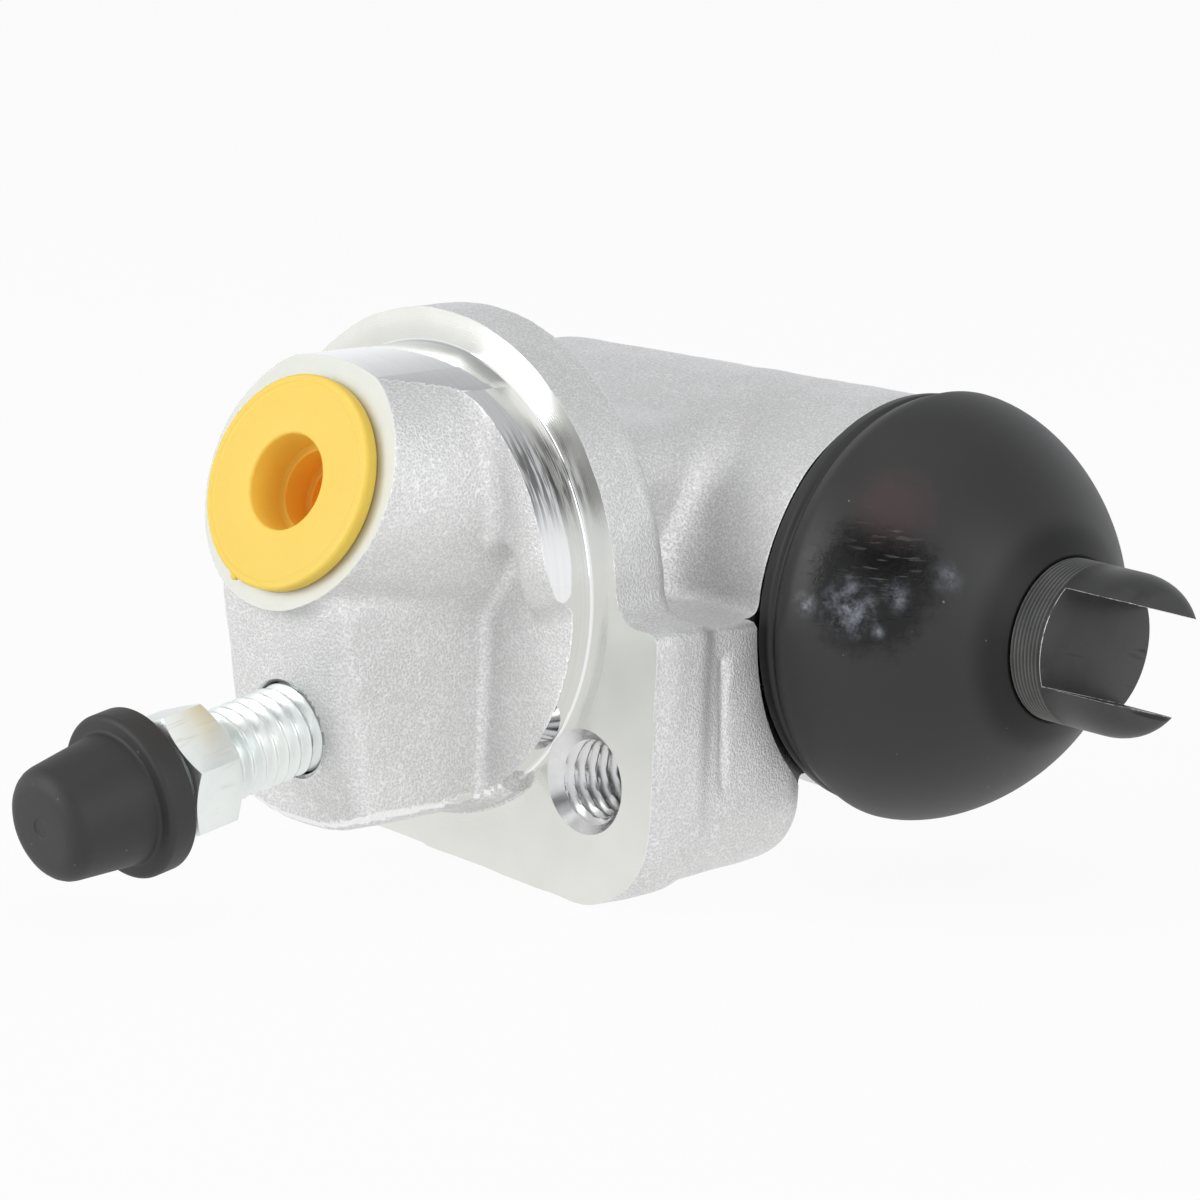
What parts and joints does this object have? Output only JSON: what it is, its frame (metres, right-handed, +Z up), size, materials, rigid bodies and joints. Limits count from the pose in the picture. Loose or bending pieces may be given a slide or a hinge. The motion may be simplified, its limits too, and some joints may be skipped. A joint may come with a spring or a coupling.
{
  "type": "wheel cylinder",
  "caption": "Single-ended drum brake wheel cylinder with a round pilot, tapped lugs, slotted stem, dust boot, bleed screw with cap and a plugged inlet.",
  "frame": {"origin": "centre of the turned pilot, on the mounting face that rests against the backing plate", "axes": "+X along the bore towards the piston and stem, -Y out through the backing plate towards the inlet and bleed screw, +Z up"},
  "size_m": [0.0763, 0.0914, 0.0474],
  "materials": {
    "cast_body": "shot-blasted casting with turned and milled faces",
    "piston": "hard anodised, turned",
    "stem": "blackened, with worn bright edges",
    "cup": "moulded",
    "expander": "passivated sheet",
    "spring": "drawn wire",
    "boot": "semi-gloss moulded",
    "bleed_screw": "bright zinc plate",
    "cap": "matte moulded",
    "plug": "soft moulded polythene"
  },
  "bodies": {
    "casting": {"body": "cast_body", "dust_boot": "boot", "return_spring": "spring"},
    "piston_group": {"piston": "piston", "piston_cup": "cup", "cup_expander": "expander"},
    "stem_group": {"stem": "stem"},
    "bleed_group": {"bleed_screw": "bleed_screw"},
    "cap_group": {"bleed_cap": "cap"},
    "plug_group": {"inlet_plug": "plug"}
  },
  "joints": [
    {"name": "piston_slide", "type": "slide", "parent": "casting", "child": "piston_group", "axis": [1, 0, 0], "range_m": [-0.003, 0.008], "deforming": ["dust_boot", "return_spring"]},
    {"name": "stem_turn", "type": "hinge", "parent": "piston_group", "child": "stem_group", "pos_m": [0, 0.031, -0.00156], "axis": [1, 0, 0], "continuous": true},
    {"name": "bleed_turn", "type": "hinge", "parent": "casting", "child": "bleed_group", "pos_m": [0, -0.0157, -0.0116], "axis": [0, -0.9848, -0.1736], "range_deg": [0, 270]},
    {"name": "cap_pull", "type": "slide", "parent": "bleed_group", "child": "cap_group", "axis": [0, -0.9848, -0.1736], "range_m": [0, 0.014]},
    {"name": "plug_pull", "type": "slide", "parent": "casting", "child": "plug_group", "axis": [0.0395, -0.9419, 0.3335], "range_m": [0, 0.016]}
  ]
}
